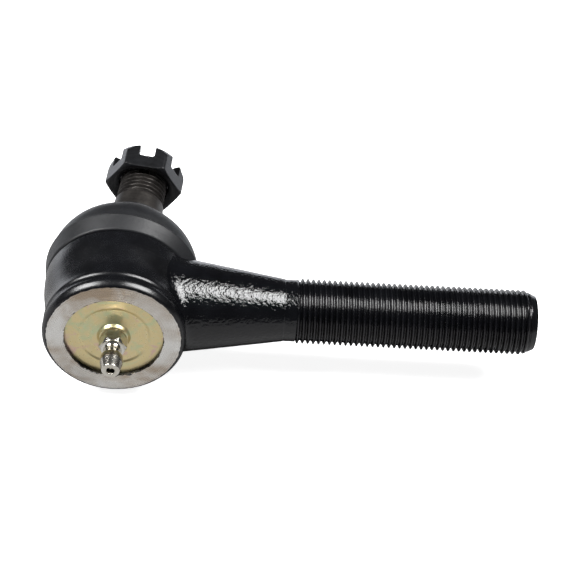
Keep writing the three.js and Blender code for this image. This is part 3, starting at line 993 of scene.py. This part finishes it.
floor = {
    "height": -22.6,
    "reach": 4000.0,
    "colour": (0.62, 0.62, 0.63),
    "mottle": (0.64, 0.64, 0.645),
    "bounce": (0.23, 0.23, 0.233),  # what it throws back at the part, as a sheet further away would
    "bounceBehind": (0.75, 0.77, 0.82),
    "behind": (0.05, 0.16),  # metres along Y between which one becomes the other
    "lift": 0.9,  # added for the eye only, so that the floor reads as clean white paper
}

studio = {
    "horizon": 0.07,
    "above": 0.05,
    "fade": (0.12, 0.3),  # heights on the unit sphere between which one becomes the other
    # name: middle in metres from the ball, half width, half depth, watts
    "rightSoftbox": ((0.36, -0.06, 0.60), 0.19, 0.19, 9),
    "leftSoftbox": ((-0.44, -0.06, 0.52), 0.17, 0.19, 8.3),
}

camera = {
    "place": (-0.100965, -0.397630, 0.342365),
    "right": (0.9972, -0.0076, 0.0747),
    "up": (-0.0522, 0.6443, 0.7630),
    "lens": 112.5,
}


def floorLook():
    # White paper to the eye; what it throws back at the part is darker in front and brighter behind
    material, tree, shader = startMaterial("paleFloor", {"Roughness": 0.8})
    where = place(tree, "ShaderNodeTexCoord").outputs["Object"]
    seen = place(tree, "ShaderNodeLightPath").outputs["Is Camera Ray"]
    paper = mixColour(tree, noise(tree, where, 3.0, 2), floor["colour"], floor["mottle"])
    depth = place(tree, "ShaderNodeSeparateXYZ", {0: where}).outputs["Y"]
    thrown = mixColour(tree, mapRange(tree, depth, *floor["behind"], 0, 1), floor["bounce"],
                       floor["bounceBehind"])
    tree.links.new(mixColour(tree, seen, thrown, paper), shader.inputs["Base Color"])
    shader.inputs["Emission Color"].default_value = (1, 1, 1, 1)
    tree.links.new(calculate(tree, "MULTIPLY", seen, floor["lift"]), shader.inputs["Emission Strength"])
    return material


def makeFloor():
    reach, height = floor["reach"] * millimetre, floor["height"] * millimetre
    mesh = bpy.data.meshes.new("floor")
    mesh.from_pydata([(-reach, -reach, height), (reach, -reach, height), (reach, reach, height),
                      (-reach, reach, height)], [], [(0, 1, 2, 3)])
    mesh.materials.append(floorLook())
    newObject("floor", mesh)


def makeSoftbox(name, middle, halfWidth, halfDepth, watts):
    light = bpy.data.lights.new(name, "AREA")
    light.shape = "RECTANGLE"
    light.size, light.size_y = 2 * halfWidth, 2 * halfDepth
    light.energy = watts
    backwards = np.array(middle) / np.linalg.norm(middle)
    sideways = np.cross(np.array([0.0, 1.0, 0.0]), backwards)
    sideways /= np.linalg.norm(sideways)
    columns = np.stack([sideways, np.cross(backwards, sideways), backwards,
                        ballCentre + np.array(middle)], -1)
    newObject(name, light).matrix_world = Matrix([*columns.tolist(), (0, 0, 0, 1)])


def makeWorld():
    # A room that is nearly dark all round, and a little less so low down
    world = bpy.data.worlds.new("studio")
    bpy.context.scene.world = world
    world.use_nodes = True
    tree = world.node_tree
    direction = place(tree, "ShaderNodeTexCoord").outputs["Generated"]
    height = place(tree, "ShaderNodeSeparateXYZ", {0: direction}).outputs["Z"]
    strength = mapRange(tree, height, *studio["fade"], studio["horizon"], studio["above"])
    tree.links.new(strength, tree.nodes["Background"].inputs["Strength"])
    tree.nodes["Background"].inputs["Color"].default_value = (1, 1, 1, 1)


def makeCamera():
    lens = bpy.data.cameras.new("camera")
    lens.lens = camera["lens"]
    lens.sensor_width = 36
    lens.clip_start, lens.clip_end = 0.01, 50
    seat = newObject("camera", lens)
    right, up = np.array(camera["right"]), np.array(camera["up"])
    back = np.cross(right, up)
    seat.matrix_world = Matrix([
        (right[0], up[0], back[0], camera["place"][0]),
        (right[1], up[1], back[1], camera["place"][1]),
        (right[2], up[2], back[2], camera["place"][2]),
        (0, 0, 0, 1)])
    bpy.context.scene.camera = seat


makeFloor()
for boxName in ("rightSoftbox", "leftSoftbox"):
    makeSoftbox(boxName, *studio[boxName])
makeWorld()
makeCamera()
bpy.context.scene.view_settings.view_transform = "Standard"
print("studio set up")
